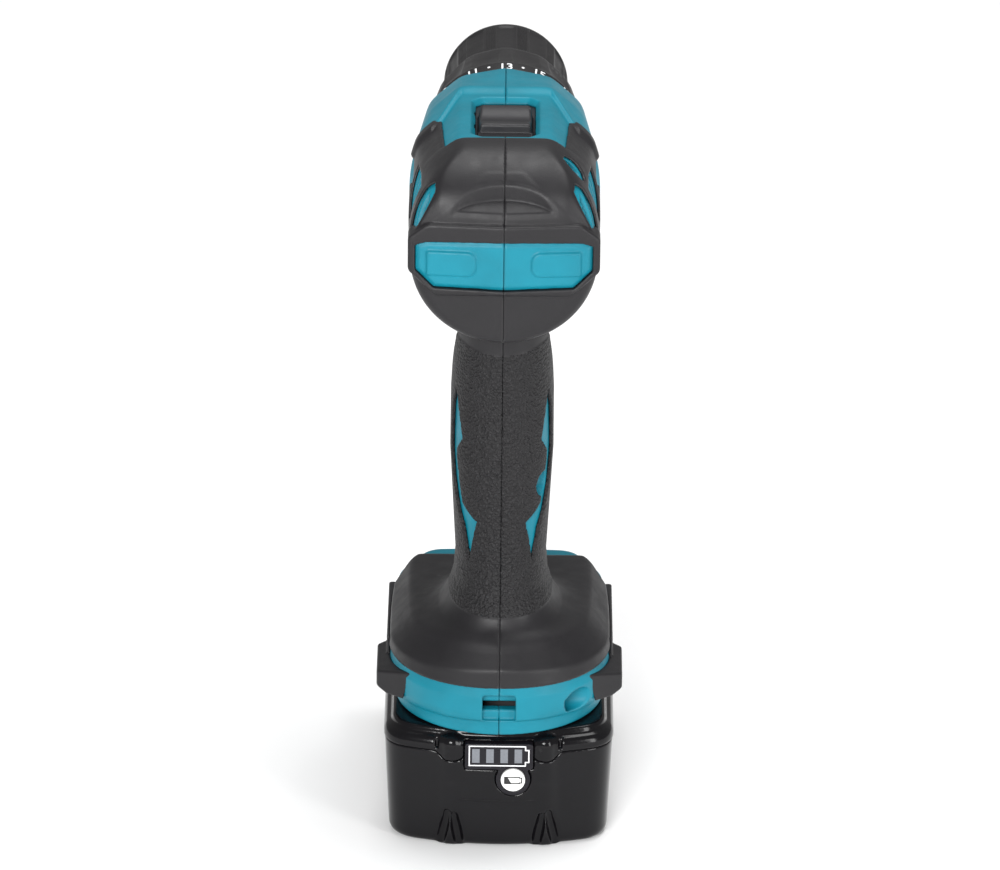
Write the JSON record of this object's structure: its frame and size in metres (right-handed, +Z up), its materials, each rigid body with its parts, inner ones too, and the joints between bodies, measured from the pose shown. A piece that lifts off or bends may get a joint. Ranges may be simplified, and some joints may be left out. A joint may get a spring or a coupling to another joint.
{
  "type": "cordless drill",
  "caption": "Compact cordless drill with keyless chuck, torque dial, two-speed selector, trigger, direction lever and a slide-on battery pack.",
  "frame": {"origin": "middle of the tool's overall outline, on the plane the battery stands on", "axes": "+Z up from the battery's underside, +Y along the spindle out of the chuck, +X to the right of someone holding the tool"},
  "size_m": [0.0806, 0.162, 0.2426],
  "materials": {
    "shell_plastic": "fine spark-eroded texture, satin",
    "soft_rubber": "matt soft overmould",
    "ring_rubber": "satin moulded plastic",
    "dark_plastic": "satin",
    "battery_plastic": "polished",
    "gauge_film": "printed film",
    "white_rubber": "satin",
    "lens": "clear",
    "bright_steel": "ground",
    "gear_steel": "cut and oiled",
    "black_steel": "black oxide",
    "lamination_steel": "stacked sheets",
    "case_metal": "die cast",
    "brass": "turned",
    "copper": "enamelled wire",
    "circuit_board": "solder mask",
    "cell_wrap": "shrink sleeve"
  },
  "bodies": {
    "housing": {"housing_left": "shell_plastic", "housing_right": "shell_plastic", "cover_left": "soft_rubber", "cover_right": "soft_rubber", "bumper_left": "soft_rubber", "bumper_right": "soft_rubber", "housing_screws": "black_steel", "hook_inserts": "brass", "gear_case": "case_metal", "gear_case_screws": "bright_steel", "ring_gear_2": "gear_steel", "rear_bearing": "bright_steel", "front_bearing": "bright_steel", "stator_core": "lamination_steel", "stator_windings": "copper", "sensor_board": "circuit_board", "motor_bracket": "case_metal", "clutch_spring": "bright_steel", "clutch_balls": "bright_steel", "clutch_washer": "bright_steel", "spindle_bearings": "bright_steel", "switch_body": "dark_plastic", "trigger_spring": "bright_steel", "controller_board": "circuit_board", "work_light": "lens", "terminal_block": "dark_plastic"},
    "rotor": {"rotor_core": "lamination_steel", "rotor_shaft": "gear_steel", "cooling_fan": "dark_plastic"},
    "speed_shift": {"speed_knob": "dark_plastic", "shift_fork": "bright_steel", "ring_gear_1": "gear_steel"},
    "first_carrier": {"carrier_1": "gear_steel"},
    "output": {"carrier_2": "gear_steel", "spindle": "gear_steel", "chuck_body": "black_steel"},
    "sleeve": {"chuck_sleeve": "ring_rubber"},
    "torque_dial": {"torque_ring": "ring_rubber"},
    "clutch_adjuster": {"clutch_nut": "brass"},
    "trigger_body": {"trigger": "dark_plastic"},
    "lever_body": {"direction_lever": "dark_plastic"},
    "battery": {"battery_lower_case": "battery_plastic", "battery_upper_case": "battery_plastic", "battery_cells": "cell_wrap", "battery_board": "circuit_board", "battery_terminals": "copper", "gauge_panel": "gauge_film", "battery_screws": "black_steel", "release_spring": "bright_steel"},
    "battery_latch": {"release_button": "dark_plastic"},
    "gauge_switch": {"gauge_button": "white_rubber"},
    "planet_body_1a": {"planet_1a": "gear_steel"},
    "planet_body_1b": {"planet_1b": "gear_steel"},
    "planet_body_1c": {"planet_1c": "gear_steel"},
    "planet_body_2a": {"planet_2a": "gear_steel"},
    "planet_body_2b": {"planet_2b": "gear_steel"},
    "planet_body_2c": {"planet_2c": "gear_steel"},
    "jaw_body_a": {"chuck_jaw_a": "gear_steel"},
    "jaw_body_b": {"chuck_jaw_b": "gear_steel"},
    "jaw_body_c": {"chuck_jaw_c": "gear_steel"}
  },
  "joints": [
    {"name": "rotor_spin", "type": "hinge", "parent": "housing", "child": "rotor", "pos_m": [0, -0.05, 0.212], "axis": [0, 1, 0], "continuous": true},
    {"name": "first_carrier_spin", "type": "hinge", "parent": "housing", "child": "first_carrier", "pos_m": [0, -0.014, 0.212], "axis": [0, 1, 0], "continuous": true},
    {"name": "output_spin", "type": "hinge", "parent": "housing", "child": "output", "pos_m": [0, 0.02, 0.212], "axis": [0, 1, 0], "continuous": true},
    {"name": "planet_1a_spin", "type": "hinge", "parent": "first_carrier", "child": "planet_body_1a", "pos_m": [0.0108, -0.02, 0.212], "axis": [0, 1, 0], "continuous": true},
    {"name": "planet_1b_spin", "type": "hinge", "parent": "first_carrier", "child": "planet_body_1b", "pos_m": [-0.0054, -0.02, 0.20265], "axis": [0, 1, 0], "continuous": true},
    {"name": "planet_1c_spin", "type": "hinge", "parent": "first_carrier", "child": "planet_body_1c", "pos_m": [-0.0054, -0.02, 0.22135], "axis": [0, 1, 0], "continuous": true},
    {"name": "planet_2a_spin", "type": "hinge", "parent": "output", "child": "planet_body_2a", "pos_m": [0.0108, -0.008, 0.212], "axis": [0, 1, 0], "continuous": true},
    {"name": "planet_2b_spin", "type": "hinge", "parent": "output", "child": "planet_body_2b", "pos_m": [-0.0054, -0.008, 0.20265], "axis": [0, 1, 0], "continuous": true},
    {"name": "planet_2c_spin", "type": "hinge", "parent": "output", "child": "planet_body_2c", "pos_m": [-0.0054, -0.008, 0.22135], "axis": [0, 1, 0], "continuous": true},
    {"name": "speed_select", "type": "slide", "parent": "housing", "child": "speed_shift", "axis": [0, 1, 0], "range_m": [-0.005, 0]},
    {"name": "torque_dial_turn", "type": "hinge", "parent": "housing", "child": "torque_dial", "pos_m": [0, 0.035, 0.212], "axis": [0, 1, 0], "range_deg": [-110, 146]},
    {"name": "clutch_nut_travel", "type": "slide", "parent": "housing", "child": "clutch_adjuster", "axis": [0, 1, 0], "range_m": [-0.0025, 0.0033], "deforming": ["clutch_spring"]},
    {"name": "sleeve_turn", "type": "hinge", "parent": "output", "child": "sleeve", "pos_m": [0, 0.065, 0.212], "axis": [0, 1, 0], "range_deg": [-2376, 0]},
    {"name": "trigger_pull", "type": "slide", "parent": "housing", "child": "trigger_body", "axis": [0, -1, 0], "range_m": [0, 0.007], "stiffness_N_per_m": 600, "springref_m": -0.004, "deforming": ["trigger_spring"]},
    {"name": "direction_turn", "type": "hinge", "parent": "housing", "child": "lever_body", "pos_m": [0, -0.026, 0.181], "axis": [0, 0, 1], "range_deg": [-8, 8]},
    {"name": "battery_slide", "type": "slide", "parent": "housing", "child": "battery", "axis": [0, 1, 0], "range_m": [0, 0.1]},
    {"name": "release_press", "type": "slide", "parent": "battery", "child": "battery_latch", "axis": [0, 0, -1], "range_m": [0, 0.004], "stiffness_N_per_m": 900, "springref_m": -0.003, "deforming": ["release_spring"]},
    {"name": "gauge_press", "type": "slide", "parent": "battery", "child": "gauge_switch", "axis": [0, 1, 0], "range_m": [0, 0.0008], "stiffness_N_per_m": 1500, "springref_m": -0.0005},
    {"name": "jaw_a_slide", "type": "slide", "parent": "output", "child": "jaw_body_a", "axis": [0, 0.9397, 0.342], "range_m": [0, 0.0165]},
    {"name": "jaw_b_slide", "type": "slide", "parent": "output", "child": "jaw_body_b", "axis": [0.2962, 0.9397, -0.171], "range_m": [0, 0.0165]},
    {"name": "jaw_c_slide", "type": "slide", "parent": "output", "child": "jaw_body_c", "axis": [-0.2962, 0.9397, -0.171], "range_m": [0, 0.0165]}
  ],
  "couplings": [
    {"joint": "first_carrier_spin", "follows": "rotor_spin", "ratio": 0.16667},
    {"joint": "output_spin", "follows": "rotor_spin", "ratio": 0.027778},
    {"joint": "planet_1a_spin", "follows": "rotor_spin", "ratio": -0.41667},
    {"joint": "planet_1b_spin", "follows": "rotor_spin", "ratio": -0.41667},
    {"joint": "planet_1c_spin", "follows": "rotor_spin", "ratio": -0.41667},
    {"joint": "planet_2a_spin", "follows": "rotor_spin", "ratio": -0.069444},
    {"joint": "planet_2b_spin", "follows": "rotor_spin", "ratio": -0.069444},
    {"joint": "planet_2c_spin", "follows": "rotor_spin", "ratio": -0.069444},
    {"joint": "clutch_nut_travel", "follows": "torque_dial_turn", "m_per_rad": 0.00125},
    {"joint": "jaw_a_slide", "follows": "sleeve_turn", "m_per_rad": -0.00039789},
    {"joint": "jaw_b_slide", "follows": "sleeve_turn", "m_per_rad": -0.00039789},
    {"joint": "jaw_c_slide", "follows": "sleeve_turn", "m_per_rad": -0.00039789}
  ]
}
